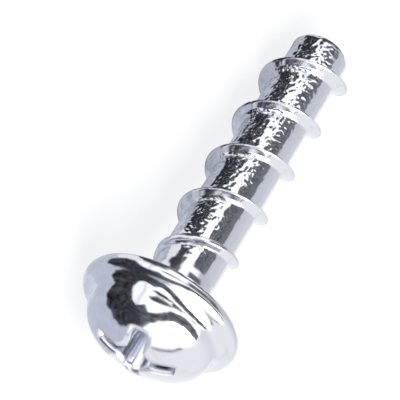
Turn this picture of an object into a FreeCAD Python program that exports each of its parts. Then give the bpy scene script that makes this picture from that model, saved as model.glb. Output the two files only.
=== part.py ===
import FreeCAD
import Part
import Sketcher

import math
import os
import re

# Thread-forming screw in one piece: a round head with a washer-like flange, a cross recess,
# a coarse single-start right-hand thread and a flat end.
#
# The screw is drawn upright in its body: the bearing face under the flange lies in the plane
# z = 0, the head rises along +Z and the shank hangs down along -Z. The body's placement then
# lays it down as it comes to rest, on the rim of the flange and on the thread near its end.
# Lengths are in millimetres and angles in degrees.

NODE = "screw"

SIZES = [
    # Head
    ("flange_diameter", 9.45, "flange, over the rim"),
    ("rim_radius", 0.5, "round of the flange rim"),
    ("rim_height", 0.42, "bearing face to the widest place of the rim"),
    ("flange_slope", 14.0, "fall of the flange top towards the rim"),
    ("dome_diameter", 7.65, "dome, where it meets the flange"),
    ("head_height", 3.73, "bearing face to crown"),
    ("crown_radius", 5.4, "ball of the crown"),
    ("shoulder_radius", 1.8, "round from the crown down to the flange"),
    ("dome_foot_radius", 0.7, "hollow round between dome and flange"),
    # Neck and shank
    ("neck_diameter", 3.9, "plain neck under the head"),
    ("neck_length", 1.7, "bearing face to the end of the neck"),
    ("neck_fillet", 1.1, "round between neck and bearing face"),
    ("neck_taper_angle", 12.0, "neck down into the core, to the axis"),
    ("neck_core_diameter", 3.72, "core at the bearing face"),
    ("end_core_diameter", 3.34, "core at the flat end"),
    ("shank_length", 19.6, "bearing face to the flat end"),
    ("end_diameter", 2.92, "flat of the end"),
    ("end_cone_angle", 36.0, "cone over the end and the thread's start, to the axis"),
    # Thread
    ("thread_diameter", 4.8, "over the crest"),
    ("thread_pitch", 3.35, "one turn"),
    ("head_flank_angle", 29.0, "flank towards the head, to the plane of the turn"),
    ("head_root_radius", 0.8, "hollow round at the foot of that flank"),
    ("end_flank_angle", 22.0, "flank towards the end, to the plane of the turn"),
    ("end_root_radius", 0.6, "hollow round at the foot of that flank"),
    ("root_depth", 0.15, "foot of the ridge below the core at the flat end"),
    ("last_crest_place", 1.87, "flat end to the last crest over the seam"),
    ("runout_start", 5.5, "bearing face to the first full crest"),
    ("runout_end", 1.9, "bearing face to the first trace of the thread"),
    # Cross recess
    ("recess_span", 4.75, "tip to tip of two opposite wings, on the dome"),
    ("recess_depth", 2.75, "crown to the wing floor"),
    ("wing_width", 0.95, "between the walls of a wing, at the crown"),
    ("wing_draft", 3.0, "lean of the wing walls"),
    ("wing_end_angle", 26.5, "lean of the wing ends"),
    ("recess_core_width", 2.1, "across the flats between the wings, at the crown"),
    ("recess_core_draft", 9.0, "lean of those flats"),
    ("recess_point_diameter", 1.1, "drill point in the floor"),
    ("recess_point_depth", 0.35, "drill point below the wing floor"),
    ("recess_angle", -28.0, "turn of the recess from the seam"),
    # Cuts, stock and the ridge begin this far outside the metal
    ("outside_margin", 0.2, "margin past a surface that is cut away"),
]

# Sizes that follow from those above, in the sheet's own formulas.
DERIVED = [
    ("dome_foot_height",
     "rim_height + rim_radius * cos(flange_slope) + (flange_diameter / 2 - rim_radius"
     " + rim_radius * sin(flange_slope) - dome_diameter / 2) * tan(flange_slope)",
     "bearing face to the edge of the dome"),
    ("foot_above_ball", "dome_foot_height - head_height + crown_radius",
     "middle of the crown's ball to the edge of the dome, along the axis"),
    ("foot_from_ball", "sqrt((dome_diameter / 2) ^ 2 + foot_above_ball ^ 2)", "the same, straight"),
    ("shoulder_from_ball", "crown_radius - shoulder_radius", "middle of the ball to that of the shoulder"),
    ("shoulder_angle",
     "atan(dome_diameter / 2 / foot_above_ball) - acos((shoulder_from_ball ^ 2 + foot_from_ball ^ 2"
     " - shoulder_radius ^ 2) / (2 * shoulder_from_ball * foot_from_ball))",
     "axis to the seam between crown and shoulder, from the middle of the ball"),
    ("core_slope", "(neck_core_diameter - end_core_diameter) / 2 / shank_length", "core taper"),
    ("ridge_foot", "end_core_diameter / 2 - root_depth", "radius of the ridge's hidden foot"),
    ("head_flank_end", "ridge_foot + head_root_radius * (1 - sin(head_flank_angle))",
     "radius where the flank towards the head turns into its round"),
    ("head_flank_reach", "(thread_diameter / 2 - head_flank_end) * tan(head_flank_angle)",
     "crest to that turn"),
    ("head_foot_reach", "head_flank_reach + head_root_radius * cos(head_flank_angle)",
     "crest to the foot towards the head"),
    ("end_flank_end", "ridge_foot + end_root_radius * (1 - sin(end_flank_angle))",
     "radius where the flank towards the end turns into its round"),
    ("end_flank_reach", "(thread_diameter / 2 - end_flank_end) * tan(end_flank_angle)",
     "crest to that turn"),
    ("end_foot_reach", "end_flank_reach + end_root_radius * cos(end_flank_angle)",
     "crest to the foot towards the end"),
    ("ridge_start", "shank_length + thread_pitch - last_crest_place",
     "bearing face to the ridge's first crest, one turn past the last one over the seam"),
    ("ridge_climb", "ridge_start - runout_end + head_foot_reach", "length of the ridge along the axis"),
    ("runout_slope", "(thread_diameter - neck_diameter) / 2 / (runout_start - runout_end)",
     "fall of the crest towards the head"),
    ("recess_sag", "crown_radius - sqrt(crown_radius ^ 2 - (recess_span / 2) ^ 2)",
     "crown to the wing tips on the dome"),
    ("crown_half_span", "recess_span / 2 + recess_sag * tan(wing_end_angle)",
     "axis to the wing ends, carried up to the crown"),
    ("contact_place", "last_crest_place + thread_pitch / 2",
     "flat end to the last full crest below, which touches the ground"),
    ("contact_reach", "shank_length - contact_place + rim_height",
     "middle of the rim's round to that crest, along the axis"),
    ("rim_centre", "flange_diameter / 2 - rim_radius", "radius of the middle of the rim's round"),
    ("contact_drop", "rim_centre - thread_diameter / 2", "the same, across the axis"),
    ("rest_tilt",
     "atan(contact_drop / contact_reach) + asin(rim_radius / sqrt(contact_drop ^ 2 + contact_reach ^ 2))",
     "fall of the axis of the lying screw"),
]

doc = FreeCAD.newDocument("WasherHeadScrew")
sheet = doc.addObject("Spreadsheet::Sheet", "Sizes")


def fill_sheet():
    """One row for each size: what it is, its number or formula, its alias."""
    rows = [(alias, str(number), meaning) for alias, number, meaning in SIZES]
    rows += [(alias, "=" + text, meaning) for alias, text, meaning in DERIVED]
    for row, (alias, cell, meaning) in enumerate(rows, start=1):
        sheet.set("A%d" % row, meaning)
        sheet.set("B%d" % row, cell)
        sheet.setAlias("B%d" % row, alias)
    doc.recompute()


def formula(text):
    """Writes the sheet's name before each alias: every alias holds an underscore."""
    return re.sub(r"[a-z]+(?:_[a-z]+)+", lambda word: "Sizes." + word.group(), text)


def number_of(text):
    """The number that a formula of sizes gives now."""
    result = sheet.evalExpression(formula(text))
    return float(getattr(result, "Value", result))


def bind(item, path, text):
    """Ties a property to a formula of sizes."""
    item.setExpression(path, formula(text))


def origin_item(body, role):
    """One of the body's own origin planes or axes."""
    return next(item for item in body.Origin.OriginFeatures if item.Role == role)


def new_sketch(body, name, role):
    """An empty sketch on one of the body's origin planes."""
    sketch = body.newObject("Sketcher::SketchObject", name)
    sketch.AttachmentSupport = [(origin_item(body, role), "")]
    sketch.MapMode = "FlatFace"
    return sketch


def fix_corner(sketch, edge, end, name, across, along):
    """Ties one end of an edge to a place given by two formulas."""
    for kind, text, axis in (("DistanceX", across, -2), ("DistanceY", along, -1)):
        if text == "0":
            sketch.addConstraint(Sketcher.Constraint("PointOnObject", edge, end, axis))
            continue
        here = number_of(text)
        ends = (-1, 1, edge, end) if here > 0 else (edge, end, -1, 1)
        index = sketch.addConstraint(Sketcher.Constraint(kind, *ends, abs(here)))
        label = name + ("_across" if kind == "DistanceX" else "_along")
        sketch.renameConstraint(index, label)
        bind(sketch, "Constraints." + label, text if here > 0 else "-(%s)" % text)


def arc_between(start, stop, radius, turn):
    """The shorter arc from start to stop; turn is 1 anticlockwise and -1 clockwise."""
    chord = stop - start
    to_centre = FreeCAD.Vector(-chord.y, chord.x, 0).normalize() * turn
    centre = (start + stop) / 2 + to_centre * math.sqrt(radius ** 2 - (chord.Length / 2) ** 2)
    ends = (start, stop) if turn > 0 else (stop, start)
    angles = [math.atan2(point.y - centre.y, point.x - centre.x) for point in ends]
    return Part.ArcOfCircle(Part.Circle(centre, FreeCAD.Vector(0, 0, 1), radius), *angles)


def draw_outline(sketch, corners):
    """Draws a closed outline. Each corner is a name and two formulas for its place, then, where
    an arc leaves it, a formula for the radius and a turn of 1 or -1."""
    points = [FreeCAD.Vector(number_of(corner[1]), number_of(corner[2]), 0) for corner in corners]
    edges = []
    for start, stop, corner in zip(points, points[1:] + points[:1], corners):
        if len(corner) == 3:
            edge = sketch.addGeometry(Part.LineSegment(start, stop), False)
            edges.append((edge, 1, 2))
            continue
        radius, turn = corner[3:]
        edge = sketch.addGeometry(arc_between(start, stop, number_of(radius), turn), False)
        index = sketch.addConstraint(Sketcher.Constraint("Radius", edge, number_of(radius)))
        sketch.renameConstraint(index, corner[0] + "_radius")
        bind(sketch, "Constraints.%s_radius" % corner[0], radius)
        edges.append((edge, 1, 2) if turn > 0 else (edge, 2, 1))
    for (before, _, last), (edge, first, _), corner in zip(edges[-1:] + edges[:-1], edges, corners):
        sketch.addConstraint(Sketcher.Constraint("Coincident", before, last, edge, first))
        fix_corner(sketch, edge, first, *corner[:3])


def revolve(body, kind, name, corners):
    """Turns a closed outline, radius across and height along, about the screw's axis."""
    sketch = new_sketch(body, name + "Outline", "XZ_Plane")
    draw_outline(sketch, corners)
    feature = body.newObject("PartDesign::" + kind, name)
    feature.Profile = sketch
    feature.ReferenceAxis = (sketch, ["V_Axis"])
    feature.Angle = 360
    doc.recompute()
    return feature


def shank_rod(body):
    """The tapered core, a little too long at both ends."""
    return revolve(body, "Revolution", "ShankRod", [
        ("top_axis", "0", "-neck_fillet"),
        ("top_edge", "neck_core_diameter / 2 - core_slope * neck_fillet", "-neck_fillet"),
        ("stock_edge", "end_core_diameter / 2 - core_slope * outside_margin",
         "-(shank_length + outside_margin)"),
        ("stock_axis", "0", "-(shank_length + outside_margin)"),
    ])


def thread_ridge(body):
    """One ridge in a right-hand helix, with a sharp crest and a hollow round at each foot."""
    sketch = new_sketch(body, "ThreadRidgeOutline", "XZ_Plane")
    draw_outline(sketch, [
        ("crest", "thread_diameter / 2", "-ridge_start"),
        ("head_turn", "head_flank_end", "-(ridge_start - head_flank_reach)", "head_root_radius", -1),
        ("head_foot", "ridge_foot", "-(ridge_start - head_foot_reach)"),
        ("end_foot", "ridge_foot", "-(ridge_start + end_foot_reach)", "end_root_radius", -1),
        ("end_turn", "end_flank_end", "-(ridge_start + end_flank_reach)"),
    ])
    ridge = body.newObject("PartDesign::AdditiveHelix", "ThreadRidge")
    ridge.Profile = sketch
    ridge.ReferenceAxis = (sketch, ["V_Axis"])
    ridge.Mode = "pitch-height-angle"
    ridge.LeftHanded = False
    bind(ridge, "Pitch", "thread_pitch")
    bind(ridge, "Height", "ridge_climb")
    doc.recompute()
    return ridge


def thread_ends(body):
    """Cuts the rod and the ridge to length with a cone at the flat end, and lets the ridge run
    out towards the head."""
    low = "-(shank_length + thread_pitch + outside_margin)"
    outer = "thread_diameter / 2 + outside_margin"
    revolve(body, "Groove", "EndCut", [
        ("low_axis", "0", low),
        ("low_outer", outer, low),
        ("cone_outer", outer,
         "-(shank_length - (thread_diameter / 2 + outside_margin - end_diameter / 2) / tan(end_cone_angle))"),
        ("flat_edge", "end_diameter / 2", "-shank_length"),
        ("flat_axis", "0", "-shank_length"),
    ])
    revolve(body, "Groove", "RunoutCut", [
        ("runout_low", outer, "-(runout_start + outside_margin / runout_slope)"),
        ("high_outer", outer, "outside_margin"),
        ("high_inner", "neck_diameter / 2 - runout_slope * (runout_end + outside_margin)", "outside_margin"),
    ])


def head_and_neck(body):
    """Dome, flange and neck, down to where the neck sinks into the core."""
    revolve(body, "Revolution", "HeadAndNeck", [
        ("crown", "0", "head_height", "crown_radius", -1),
        ("shoulder", "crown_radius * sin(shoulder_angle)",
         "head_height - crown_radius * (1 - cos(shoulder_angle))", "shoulder_radius", -1),
        ("dome_edge", "dome_diameter / 2", "dome_foot_height"),
        ("rim_top", "rim_centre + rim_radius * sin(flange_slope)",
         "rim_height + rim_radius * cos(flange_slope)", "rim_radius", -1),
        ("rim_edge", "rim_centre + sqrt(rim_radius ^ 2 - rim_height ^ 2)", "0"),
        ("fillet_face", "neck_diameter / 2 + neck_fillet", "0", "neck_fillet", 1),
        ("fillet_neck", "neck_diameter / 2", "-neck_fillet"),
        ("neck_edge", "neck_diameter / 2", "-neck_length"),
        ("taper_foot", "ridge_foot",
         "-(neck_length + (neck_diameter / 2 - ridge_foot) / tan(neck_taper_angle))"),
        ("taper_axis", "0",
         "-(neck_length + (neck_diameter / 2 - ridge_foot) / tan(neck_taper_angle))"),
    ])


def circle_edge(shape, radius, height):
    """The name of the round edge about the axis with this radius at this height."""
    for index, edge in enumerate(shape.Edges, start=1):
        if not isinstance(edge.Curve, Part.Circle):
            continue
        if abs(edge.Curve.Radius - radius) < 0.001 and abs(edge.Curve.Center.z - height) < 0.001:
            return "Edge%d" % index
    raise ValueError("no round edge of radius %.3f at height %.3f" % (radius, height))


def dome_foot(body):
    """The hollow round between the dome and the flange."""
    base = body.Tip
    edge = circle_edge(base.Shape, number_of("dome_diameter / 2"), number_of("dome_foot_height"))
    fillet = body.newObject("PartDesign::Fillet", "DomeFoot")
    fillet.Base = (base, [edge])
    bind(fillet, "Radius", "dome_foot_radius")
    doc.recompute()


def tapered_cut(body, name, outline):
    """A cut from above the crown down to the wing floor, turned with the recess. The outline
    gives its corners for a formula of how far below the crown they lie."""
    sketches = []
    for level, below in (("Top", "-outside_margin"), ("Floor", "recess_depth")):
        sketch = new_sketch(body, name + level, "XY_Plane")
        bind(sketch, "AttachmentOffset.Base.z", "head_height - (%s)" % below)
        bind(sketch, "AttachmentOffset.Rotation.Angle", "recess_angle")
        draw_outline(sketch, outline(below))
        sketches.append(sketch)
    cut = body.newObject("PartDesign::SubtractiveLoft", name)
    cut.Profile = sketches[0]
    cut.Sections = sketches[1:]
    cut.Ruled = True
    doc.recompute()
    return cut


def wing_pair(below):
    """Two opposite wings in one bar, narrower and shorter with depth."""
    length = "(crown_half_span - (%s) * tan(wing_end_angle))" % below
    width = "(wing_width / 2 - (%s) * tan(wing_draft))" % below
    return [
        ("right_front", length, "-" + width),
        ("right_back", length, width),
        ("left_back", "-" + length, width),
        ("left_front", "-" + length, "-" + width),
    ]


def recess_core(below):
    """A square on its corner, whose flats bevel the four corners between the wings."""
    reach = "(recess_core_width / 2 - (%s) * tan(recess_core_draft)) * sqrt(2)" % below
    return [
        ("right", reach, "0"),
        ("back", "0", reach),
        ("left", "-" + reach, "0"),
        ("front", "0", "-" + reach),
    ]


def cross_recess(body):
    wings = tapered_cut(body, "RecessWings", wing_pair)
    cross = body.newObject("PartDesign::PolarPattern", "RecessCross")
    cross.Originals = [wings]
    cross.Axis = (origin_item(body, "Z_Axis"), [""])
    cross.Angle = 90
    cross.Occurrences = 2
    body.Tip = cross
    doc.recompute()
    tapered_cut(body, "RecessCore", recess_core)
    floor = "head_height - recess_depth"
    revolve(body, "Groove", "RecessPoint", [
        ("point_tip", "0", "%s - recess_point_depth" % floor),
        ("point_edge", "recess_point_diameter / 2", floor),
        ("open_edge", "recess_point_diameter / 2", "%s + outside_margin" % floor),
        ("open_axis", "0", "%s + outside_margin" % floor),
    ])


def lay_down(body):
    """Turns the screw from upright to lying, its end towards +X and a little down, with its
    lowest points in the plane z = 0 and the middle of its length over the origin."""
    body.Placement.Rotation = FreeCAD.Rotation(FreeCAD.Vector(0, 1, 0), 1)
    bind(body, "Placement.Rotation.Angle", "rest_tilt - 90 deg")
    bind(body, "Placement.Base.x",
         "(crown_radius + (head_height - crown_radius - shank_length) * cos(rest_tilt)"
         " - end_diameter / 2 * sin(rest_tilt)) / 2")
    bind(body, "Placement.Base.z",
         "rim_centre * cos(rest_tilt) - rim_height * sin(rest_tilt) + rim_radius")
    doc.recompute()


def build_screw():
    body = doc.addObject("PartDesign::Body", "Screw")
    body.Label = NODE
    steps = (shank_rod, thread_ridge, thread_ends, head_and_neck, dome_foot, cross_recess)
    volume = 0
    for step in steps:
        step(body)
        now = body.Shape.Volume
        print("%-14s volume %8.2f mm3, change %+8.2f" % (step.__name__, now, now - volume))
        volume = now
    lay_down(body)
    return body


def check(body):
    """Stops before anything is written where an object failed or the solid isn't sound."""
    for item in doc.Objects:
        if "Invalid" in item.State or "Error" in item.State:
            raise RuntimeError("%s failed: %s" % (item.Name, item.State))
    shape = body.Shape
    if shape.isNull() or not shape.isValid() or len(shape.Solids) != 1:
        raise RuntimeError("%s isn't one sound solid" % body.Label)


fill_sheet()
screw = build_screw()
check(screw)
os.makedirs("parts", exist_ok=True)
screw.Shape.exportStep("parts/%s.step" % screw.Label)
box = screw.Shape.optimalBoundingBox(False)
print("%s: %d faces, X %.3f to %.3f, Y %.3f to %.3f, Z %.3f to %.3f" % (
    screw.Label, len(screw.Shape.Faces), box.XMin, box.XMax, box.YMin, box.YMax, box.ZMin, box.ZMax))
print("rest tilt %.3f degrees, bearing face centre %s, axis to the end %s" % (
    number_of("rest_tilt"), screw.Placement.Base,
    screw.Placement.Rotation.multVec(FreeCAD.Vector(0, 0, -1))))
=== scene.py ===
# %% [markdown]
# # A thread-forming screw with a washer head
#
# This script dresses a plated steel screw for its photograph. The solid comes from the CAD
# model, already packed, and everything here is in metres in that model's own frame. The
# first cell loads it and notes its box, so that we can see at the end that the dressing
# hasn't made it any bigger.

# %% Load the packed screw
from math import atan2, cos, hypot, radians, sin
from random import Random

import bmesh
import bpy
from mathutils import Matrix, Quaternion, Vector


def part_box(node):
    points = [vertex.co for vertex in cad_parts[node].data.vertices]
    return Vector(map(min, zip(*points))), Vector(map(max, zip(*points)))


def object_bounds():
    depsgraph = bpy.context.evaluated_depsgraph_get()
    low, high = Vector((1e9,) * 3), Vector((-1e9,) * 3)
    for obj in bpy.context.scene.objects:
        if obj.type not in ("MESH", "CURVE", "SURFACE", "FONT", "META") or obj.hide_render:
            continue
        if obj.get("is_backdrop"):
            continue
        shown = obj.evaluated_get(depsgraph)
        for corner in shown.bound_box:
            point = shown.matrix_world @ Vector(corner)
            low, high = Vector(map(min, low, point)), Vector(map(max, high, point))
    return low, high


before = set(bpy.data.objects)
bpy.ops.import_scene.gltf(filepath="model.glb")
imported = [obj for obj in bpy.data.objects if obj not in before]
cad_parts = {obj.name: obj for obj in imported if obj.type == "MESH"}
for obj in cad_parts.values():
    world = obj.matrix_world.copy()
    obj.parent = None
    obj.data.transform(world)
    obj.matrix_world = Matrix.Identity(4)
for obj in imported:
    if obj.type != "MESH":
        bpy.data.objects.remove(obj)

MM = 0.001
scene = bpy.context.scene
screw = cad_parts["screw"]
cad_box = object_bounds()


def in_mm(place):
    """A place in millimetres, rounded for printing."""
    return [round(value / MM, 2) for value in place]


print("the screw lies between", *map(in_mm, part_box("screw")), "mm")

# %% [markdown]
# ## The camera
#
# The picture was taken from a good way off with a long lens, which is why the near head and
# the far end of the screw are nearly the same scale. We place the camera by the direction
# it looks from, aim it, and then roll it about its own line of sight, because the camera
# was tipped on its side.

# %% Aim the camera
LOOK_AT = Vector((-1.0749, 0.7586, 2.3945)) * MM
DISTANCE = 196.528 * MM
AZIMUTH = radians(-148.464)
ELEVATION = radians(36.976)
ROLL = radians(108.662)
FOCAL_LENGTH = 317.29
FILM_WIDTH = 36
NEAREST_SEEN = 0.01

outwards = Vector((
    sin(AZIMUTH) * cos(ELEVATION), -cos(AZIMUTH) * cos(ELEVATION), sin(ELEVATION)))
upright = (-outwards).to_track_quat("-Z", "Y")

lens = bpy.data.cameras.new("long_lens")
lens.lens = FOCAL_LENGTH
lens.sensor_width = FILM_WIDTH
lens.clip_start = NEAREST_SEEN
camera = bpy.data.objects.new("camera", lens)
camera.location = LOOK_AT + outwards * DISTANCE
camera.rotation_mode = "QUATERNION"
camera.rotation_quaternion = upright @ Quaternion((0, 0, 1), ROLL)
scene.collection.objects.link(camera)
scene.camera = camera
print("the camera stands at", in_mm(camera.location), "mm")

# %% [markdown]
# ## Writing shaders as sums
#
# A pattern in a material is arithmetic on textures. Drawn by hand it is a wall of Math
# nodes, so this small class lets us write the same thing as an ordinary Python expression.
# Each operator adds one node and hands back its output. `fade` is the sum we need most: it
# turns any measure into a mask that goes from 0 to 1 between two values.

# %% A socket that can be added and multiplied
class Value:
    """One output socket of a node tree, with arithmetic."""

    def __init__(self, tree, socket=None):
        self.tree = tree
        self.socket = socket

    def node(self, kind, settings, sockets, output=0):
        """Any node: its settings go in first, then its sockets' values or links."""
        made = self.tree.nodes.new(kind)
        for name, setting in settings.items():
            setattr(made, name, setting)
        for key, value in sockets.items():
            if isinstance(value, Value):
                self.tree.links.new(value.socket, made.inputs[key])
            else:
                made.inputs[key].default_value = value
        return Value(self.tree, None if output is None else made.outputs[output])

    def output(self, name):
        """Another output of the same node."""
        return Value(self.tree, self.socket.node.outputs[name])

    def maths(self, operation, *operands, clamp=False):
        """A Math node on values or plain numbers."""
        settings = {"operation": operation, "use_clamp": clamp}
        return self.node("ShaderNodeMath", settings, dict(enumerate(operands)))

    def fade(self, nothing, full):
        """0 where this value is `nothing`, 1 where it is `full`, straight in between."""
        slope = 1 / (full - nothing)
        return self.maths("MULTIPLY_ADD", self, slope, -nothing * slope, clamp=True)

    def root(self):
        """The square root."""
        return self.maths("SQRT", self)

    def __add__(self, other):
        return self.maths("ADD", self, other)

    def __sub__(self, other):
        return self.maths("SUBTRACT", self, other)

    def __rsub__(self, other):
        return self.maths("SUBTRACT", other, self)

    def __mul__(self, other):
        return self.maths("MULTIPLY", self, other)

    def __truediv__(self, other):
        return self.maths("DIVIDE", self, other)

    def __rtruediv__(self, other):
        return self.maths("DIVIDE", other, self)

    __radd__ = __add__
    __rmul__ = __mul__


def new_material(name):
    """An empty node material, and the first helper of its tree."""
    material = bpy.data.materials.new(name)
    material.use_nodes = True
    material.node_tree.nodes.clear()
    return material, Value(material.node_tree)


reflected = sorted(name for name in vars(Value) if name.startswith("__r"))
print("a plain number may also come first:", *reflected)

# %% [markdown]
# ## The floor
#
# A product shot has a white sheet under it. The sheet is plain matt paper, and most of what
# the camera and the metal see of it is a flat white glow. The rest stays ordinary paper, so
# that the screw still throws its shadow there. A grid of one face is all the mesh it needs.

# %% Lay the white sheet
SHEET_HALF = 0.6
GLOW_SHARE = 0.8
PAPER = (0.9, 0.9, 0.9, 1)
WHITE = (1, 1, 1, 1)

flat = bmesh.new()
bmesh.ops.create_grid(flat, x_segments=1, y_segments=1, size=SHEET_HALF)
sheet_mesh = bpy.data.meshes.new("white_sheet")
flat.to_mesh(sheet_mesh)
flat.free()
sheet = bpy.data.objects.new("white_sheet", sheet_mesh)
scene.collection.objects.link(sheet)

white_paper, at = new_material("white_paper")
path = at.node("ShaderNodeLightPath", {}, {})
seen = (path.output("Is Camera Ray") + path.output("Is Glossy Ray")
        + path.output("Is Transmission Ray"))
matt = at.node("ShaderNodeBsdfDiffuse", {}, {"Color": PAPER})
glow = at.node("ShaderNodeEmission", {}, {"Color": WHITE, "Strength": 1.0})
paper = at.node("ShaderNodeMixShader", {}, {0: seen * GLOW_SHARE, 1: matt, 2: glow})
at.node("ShaderNodeOutputMaterial", {}, {"Surface": paper}, output=None)
sheet_mesh.materials.append(white_paper)
sheet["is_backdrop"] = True
print("a sheet", 2 * SHEET_HALF, "m wide with", len(sheet_mesh.polygons), "face")

# %% [markdown]
# ## A room for bright metal
#
# Bright plate has almost no colour of its own: it shows the room. So a photographer lights
# a screw by arranging what it sees. Here a big white wall stands on one side, and the rest
# of the room is a pale grey that gets a little darker and cooler away from the window. A
# dot product tells how far a direction leans towards the wall or the window.

# %% Measure the room's brightness
TOWARDS_WALL = (-0.31, 0.86, 0.41)
WALL_EDGE = (-0.042, 0.042)
WALL_GAIN = 0.7
TOWARDS_WINDOW = (-0.75, -0.5, 0.3)
WINDOW_SPREAD = (-0.21, 0.63)
WINDOW_GAIN = 0.32
ROOM_GREY = 0.75

world = bpy.data.worlds.new("studio")
scene.world = world
world.use_nodes = True
world.node_tree.nodes.clear()
at = Value(world.node_tree)


def lean_towards(looking, direction):
    """How far a direction leans towards another one: 1 is along it, 0 is square to it."""
    settings = {"operation": "DOT_PRODUCT"}
    sockets = {0: looking, 1: direction}
    return looking.node("ShaderNodeVectorMath", settings, sockets, output="Value")


looking = at.node("ShaderNodeTexCoord", {}, {}, output="Generated")
wall = lean_towards(looking, TOWARDS_WALL).fade(*WALL_EDGE)
window = lean_towards(looking, TOWARDS_WINDOW).fade(*WINDOW_SPREAD)
room = wall * WALL_GAIN + window * WINDOW_GAIN + ROOM_GREY
print("the room is between", ROOM_GREY, "and", ROOM_GREY + WALL_GAIN + WINDOW_GAIN)

# %% [markdown]
# ## Who sees the room
#
# Only glossy rays see this room. The camera sees plain white, like the sheet, and matt
# surfaces get a plain pale light. The Light Path node tells these rays apart, and two Mix
# Shaders pick what each of them sees. The Standard view shows colours as they are written.

# %% Show each ray its own sky
COOL_SHADE = (0.89, 0.92, 1.0, 1)
PALE_LIGHT = (0.9, 0.92, 1.0, 1)
PALE_LEVEL = 0.75


def mix(factor, first, second):
    """A colour between two colours."""
    settings = {"data_type": "RGBA"}
    return factor.node("ShaderNodeMix", settings, {0: factor, 6: first, 7: second}, output=2)


path = at.node("ShaderNodeLightPath", {}, {})
plain = at.node("ShaderNodeBackground", {}, {"Color": PALE_LIGHT, "Strength": PALE_LEVEL})
tint = mix(wall + window, COOL_SHADE, WHITE)
mirrored = at.node("ShaderNodeBackground", {}, {"Color": tint, "Strength": room})
white = at.node("ShaderNodeBackground", {}, {"Color": WHITE, "Strength": 1.0})
inside = at.node("ShaderNodeMixShader", {}, {
    0: path.output("Is Glossy Ray"), 1: plain, 2: mirrored})
sky = at.node("ShaderNodeMixShader", {}, {
    0: path.output("Is Camera Ray"), 1: inside, 2: white})
at.node("ShaderNodeOutputWorld", {}, {"Surface": sky}, output=None)
scene.view_settings.view_transform = "Standard"
print("the world has", len(at.tree.nodes), "nodes")

# %% [markdown]
# ## Cards for the reflections
#
# A white room alone makes metal look like chalk. Dark cards give it the black patches and
# lines that the eye reads as shine. Each card is a flat shape cut from listed corners, with
# an uneven edge and an uneven print, because a perfect card gives itself away in a curved
# mirror.
#
# The print mixes two greys with a noise texture. Where the noise is highest, a card can
# also have bright holes, which are the white specks that dents in the metal pick up.

# %% Cut a card
CARD_TINT = (0.84, 0.88, 1.0)
EDGE_STEPS = 8
EDGE_TEAR = 0.045
PRINT_DETAIL = 3.0
PRINT_ROUGHNESS = 0.7
PRINT_FADE = (0.4, 0.6)
HOLE_FADE = (0.586, 0.657)


def grey(level):
    """A level of grey with the cards' cool tint."""
    return tuple(level * part for part in CARD_TINT) + (1,)


def noise(place, scale, detail, roughness=0.5):
    """A cloudy pattern between 0 and 1, mostly near the middle."""
    sockets = {"Vector": place, "Scale": scale, "Detail": detail, "Roughness": roughness}
    return place.node("ShaderNodeTexNoise", {"noise_dimensions": "3D"}, sockets)


def torn(corners, tear):
    """The corners with small uneven steps along each edge between them."""
    edge = []
    for start, stop in zip(corners, corners[1:] + corners[:1]):
        edge.append(start)
        sideways = Vector((start.y - stop.y, stop.x - start.x, 0))
        for step in range(1, EDGE_STEPS):
            jump = tear.uniform(-EDGE_TEAR, EDGE_TEAR)
            edge.append(start.lerp(stop, step / EDGE_STEPS) + sideways * jump)
    return edge


def card(name, darkest, lightest, corners, print_scale, holes=None):
    """A flat card that only glossy rays see."""
    cut = bmesh.new()
    cut.faces.new([cut.verts.new(corner) for corner in torn(corners, Random(name))])
    mesh = bpy.data.meshes.new(name)
    cut.to_mesh(mesh)
    cut.free()
    made = bpy.data.objects.new(name, mesh)
    scene.collection.objects.link(made)

    material, at = new_material(name)
    place = at.node("ShaderNodeTexCoord", {}, {}, output="Object")
    clutter = noise(place, print_scale, PRINT_DETAIL, PRINT_ROUGHNESS)
    shade = mix(clutter.fade(*PRINT_FADE), grey(darkest), grey(lightest))
    if holes:
        shade = mix(clutter.fade(*HOLE_FADE), shade, grey(holes))
    shine = at.node("ShaderNodeEmission", {}, {"Color": shade, "Strength": 1.0})
    at.node("ShaderNodeOutputMaterial", {}, {"Surface": shine}, output=None)
    mesh.materials.append(material)
    made.visible_camera = False
    made.visible_diffuse = False
    made.visible_transmission = False
    made.visible_shadow = False
    made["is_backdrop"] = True


print("a card's edge gets", EDGE_STEPS, "steps between two corners")

# %% [markdown]
# ## Cards in the sky
#
# It is hard to think in directions, so these cards are cut on a map of the sky: the middle
# is overhead, the edge of the circle is the horizon, and x and y are the floor's own. A
# helper carries each corner from the map to a dome over the screw. The first two shape the
# dark lines on the domed head, and the third is the grey band down the shank.

# %% Hang the sky cards
SKY_REACH = 130 * MM
SKY_PRINT = 60.0


def overhead(across, up):
    """A point of the sky map: (0, 0) is overhead and a length of 1 is the horizon."""
    lean = min(hypot(across, up), 1.0) * radians(90)
    turn = atan2(up, across)
    return Vector((cos(turn) * sin(lean), sin(turn) * sin(lean), cos(lean))) * SKY_REACH


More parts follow.
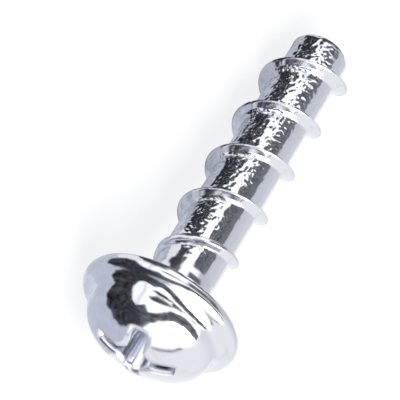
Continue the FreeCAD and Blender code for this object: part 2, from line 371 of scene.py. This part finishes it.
# Each row: name, darkest and lightest grey, corners
SKY_CARDS = [
    ("window_wall", 0.04, 0.24, [
        (-1.0, 0.03), (-0.92, 0.06), (-0.65, 0.26), (-0.33, 0.21), (-0.19, 0.04),
        (-0.17, -0.16), (-0.13, -0.28), (0.01, -0.23), (0.05, 0.0), (0.04, 0.17),
        (-0.04, 0.32), (-0.13, 0.43), (-0.53, 0.46), (-0.68, 0.48), (-0.49, 0.71),
        (-0.7, 0.71)]),
    ("side_wall", 0.04, 0.18, [
        (0.15, -0.23), (0.11, -0.01), (0.11, 0.21), (0.03, 0.46), (0.1, 0.5), (0.28, 0.44),
        (0.3, -0.12), (0.24, -0.23)]),
    ("band_wall", 0.07, 0.27, [(0.28, 0.44), (0.53, 0.42), (0.5, -0.12), (0.3, -0.12)]),
    ("small_card", 0.03, 0.13, [
        (-0.09, 0.87), (0.03, 0.77), (0.04, 0.58), (0.04, 0.44), (-0.11, 0.61),
        (-0.2, 0.76)]),
    ("thin_card", 0.03, 0.13, [
        (-0.98, -0.33), (-0.85, -0.36), (-0.7, -0.39), (-0.49, -0.33), (-0.69, -0.43),
        (-0.85, -0.4)]),
    ("far_card", 0.03, 0.13, [(0.38, 0.92), (0.7, 0.71), (0.6, 0.68), (0.4, 0.78)]),
    ("end_wall", 0.04, 0.16, [(0.72, -0.25), (1.0, -0.35), (1.0, 0.5), (0.75, 0.38)]),
]
for name, darkest, lightest, corners in SKY_CARDS:
    card(name, darkest, lightest, [overhead(*corner) for corner in corners], SKY_PRINT)
print(len(SKY_CARDS), "cards hang at", SKY_REACH / MM, "mm")

# %% [markdown]
# ## Cards on the table
#
# The left of the head and the near side of the shank look down at the table, so cards lie
# there too. The dull ones turn the white sheet into the soft grey of the head's side, of
# its rim and of the thread. The dark ones are the black patches, and the pale one is a
# bright spot on the dome. Their corners are in millimetres on the floor. Each lies a hair
# above the one before it, so that no two of them fight for the same place.

# %% Lay the table cards
TABLE_LIFT = 0.01 * MM
TABLE_PRINT = 400.0

# How bright the holes are, in the card that has them
HOLE_LEVELS = {"side_card": 1.35}

# Each row: name, darkest and lightest grey, corners
TABLE_CARDS = [
    ("dull_card", 0.74, 0.81, [
        (-200, -30), (-200, 12), (-34, 5), (-21, 4), (-14, 7), (-8, 8), (-5, 4), (-4, -4)]),
    ("thread_card", 0.5, 0.8, [(-7, -2), (-7, 2.6), (-2, 4), (12, 3.5), (14, 1), (10, -2)]),
    ("rim_card", 0.8, 0.98, [(-10.6, -1.5), (-10.4, 2.3), (-8.5, 2.6), (-8.0, -1.5)]),
    ("end_table", 0.04, 0.16, [(16, -6), (300, -120), (300, 160), (16, 8)]),
    ("side_card", 0.02, 0.07, [
        (-1.8, 3.2), (14, 2), (40, 6), (90, 60), (30, 90), (6, 40), (-0.6, 12)]),
    ("head_card", 0.01, 0.11, [
        (-400, 10), (-34, 2), (-21, 1), (-11.3, 5.0), (-8.8, 6.2), (-7, 9.5), (-7.5, 15),
        (-12, 19.5), (-25, 26), (-300, 300)]),
    ("pale_card", 1.5, 1.65, [(-26, 28), (-12, 20.5), (-6, 16), (-2, 60), (-45, 60)]),
]
for layer, (name, darkest, lightest, corners) in enumerate(TABLE_CARDS, 1):
    places = [Vector((x * MM, y * MM, layer * TABLE_LIFT)) for x, y in corners]
    card(name, darkest, lightest, places, TABLE_PRINT, HOLE_LEVELS.get(name))
highest = len(TABLE_CARDS) * TABLE_LIFT
print(len(TABLE_CARDS), "cards lie on the table, the highest at", *in_mm([highest]), "mm")

# %% [markdown]
# ## The lamp
#
# The room does most of the lighting. One soft box over the head adds the weak shadow that
# sets the screw down on its sheet. It is large for its distance, so the shadow's edge is
# soft, and dim, so that nothing pale turns to flat white.

# %% One soft box overhead
BOX_WIDTH = 0.12
BOX_WATTS = 0.25
BOX_PLACE = (-0.07, 0.0, 0.15)

soft_box = bpy.data.lights.new("soft_box", "AREA")
soft_box.shape = "SQUARE"
soft_box.size = BOX_WIDTH
soft_box.energy = BOX_WATTS
holder = bpy.data.objects.new("soft_box", soft_box)
holder.location = BOX_PLACE
holder.rotation_mode = "QUATERNION"
holder.rotation_quaternion = (-holder.location).to_track_quat("-Z", "Y")
scene.collection.objects.link(holder)
print("the soft box hangs", round(holder.location.length, 3), "m away and faces the screw")

# %% [markdown]
# ## Where a point is on the screw
#
# The plate isn't the same everywhere: the head is smooth and the shank is marked by its
# tools. So we first measure each point against the screw itself, in millimetres. `along` is
# how far it is from the bearing face under the head, `radius` is how far it is from the
# axis, and `side` is which way it faces round the axis, from -1 to 1. All three come from
# Object coordinates, so they stay put however the screw is looked at.

# %% Measure along and around the screw
AXIS = (0.99015, 0.0, -0.14003)
SQUARE_TO_AXIS = (0.110, -0.619, 0.777)
FACE_CENTRE = (-0.0079324, 0.0, 0.0046246)

bright_plate, at = new_material("bright_plate")
spot = at.node("ShaderNodeTexCoord", {}, {}, output="Object")
from_face = at.node("ShaderNodeVectorMath", {"operation": "SUBTRACT"}, {
    0: spot, 1: FACE_CENTRE})
reach = at.node("ShaderNodeVectorMath", {"operation": "LENGTH"}, {
    0: from_face}, output="Value") / MM
along = lean_towards(from_face, AXIS) / MM
radius = (reach * reach - along * along).root()
side = lean_towards(from_face, SQUARE_TO_AXIS) / MM / radius
print("measures for the plate take", len(at.tree.nodes), "nodes")

# %% [markdown]
# ## Soft edges
#
# A real edge is never as sharp as a drawn one. The plating rounds it, and the rounding
# catches a bright line. The Bevel node gives that look without a single new face: it bends
# the shading close to an edge. The recess is punched into the crown, so its edges are the
# roundest. The neck under the head is as round, and there the thread fades into it.

# %% Round the edges in the shading
EDGE_ROUND = 0.18 * MM
RIM_ROUND = 0.2 * MM
PUNCHED_ROUND = 0.4 * MM
BEVEL_RAYS = 8

# From nothing to full, by `radius`
RIM = (4.0, 4.4)
CROWN = (2.75, 2.5)

# From nothing to full, by `along`
INTO_HEAD = (0.0, -0.5)
INTO_NECK = (0.0, 0.25)
NECK_END = (2.8, 2.3)

crown = radius.fade(*CROWN) * along.fade(*INTO_HEAD)
neck = along.fade(*NECK_END) * along.fade(*INTO_NECK)
rounding = radius.fade(*RIM) * RIM_ROUND + (neck + crown) * PUNCHED_ROUND + EDGE_ROUND
rounded = at.node("ShaderNodeBevel", {"samples": BEVEL_RAYS}, {"Radius": rounding})
print("edges are rounded by", *in_mm([EDGE_ROUND, EDGE_ROUND + PUNCHED_ROUND]), "mm")

# %% [markdown]
# ## Dents in the shank
#
# Rolling the thread squeezes the core between the ridges and leaves it full of small dents.
# They are a quarter of a millimetre across and much shallower, but in bright metal each one
# mirrors another part of the room, so they show as a mottle of black and white. A noise
# texture of that size goes into a Bump node. The masks keep it on the core, off the ridges
# and the head, make it grow towards the flat end, and leave one side smoother.

# %% Dent the core
DENT_SCALE = 4000.0
DENT_DETAIL = 0.0
DENT_DEPTH = 0.09 * MM
LEAST_DENTED = 0.2

# From nothing to full, by `radius`, by `along` twice, and by `side`
CORE = (2.0, 1.83)
SHANK = (2.0, 3.7)
WORN = (-13.0, 15.7)
MARKED_SIDE = (0.44, 0.04)

marked = side.fade(*MARKED_SIDE) * (1 - LEAST_DENTED) + LEAST_DENTED
core = radius.fade(*CORE)
dents = (noise(spot, DENT_SCALE, DENT_DETAIL)
         * core * along.fade(*SHANK) * along.fade(*WORN) * marked)
dented = at.node("ShaderNodeBump", {}, {
    "Strength": 1.0, "Distance": DENT_DEPTH, "Height": dents, "Normal": rounded})
print("dents are about", *in_mm([1 / DENT_SCALE]), "mm wide and less than",
      *in_mm([DENT_DEPTH]), "mm deep")

# %% [markdown]
# ## Bright plate
#
# The finish is a thin bright coat of zinc on steel, a little bluer than the steel itself.
# It is a metal, so its colour is the colour of its reflections. It isn't quite a mirror
# either: a fine grain makes some places duller than others, which we give to Roughness.

# %% Plate the screw
ZINC = (0.72, 0.735, 0.785, 1)
GRAIN_SCALE = 1500.0
GRAIN_DETAIL = 3.0
SMOOTHEST = 0.08
GRAIN_GAIN = 0.06

grain = noise(spot, GRAIN_SCALE, GRAIN_DETAIL)
zinc = at.node("ShaderNodeBsdfPrincipled", {}, {
    "Base Color": ZINC, "Metallic": 1.0,
    "Roughness": grain * GRAIN_GAIN + SMOOTHEST, "Normal": dented})
at.node("ShaderNodeOutputMaterial", {}, {"Surface": zinc}, output=None)
screw.data.materials.clear()
screw.data.materials.append(bright_plate)
print("the plate's material has", len(at.tree.nodes), "nodes")

# %% [markdown]
# ## Is it still the same size?
#
# Dressing must never make the part bigger than its drawing. We measure the box again and
# print both boxes, one after the other.

# %% Measure and print the sizes
bpy.context.view_layer.update()
dressed_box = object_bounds()
print("before", *map(in_mm, cad_box), "after", *map(in_mm, dressed_box))
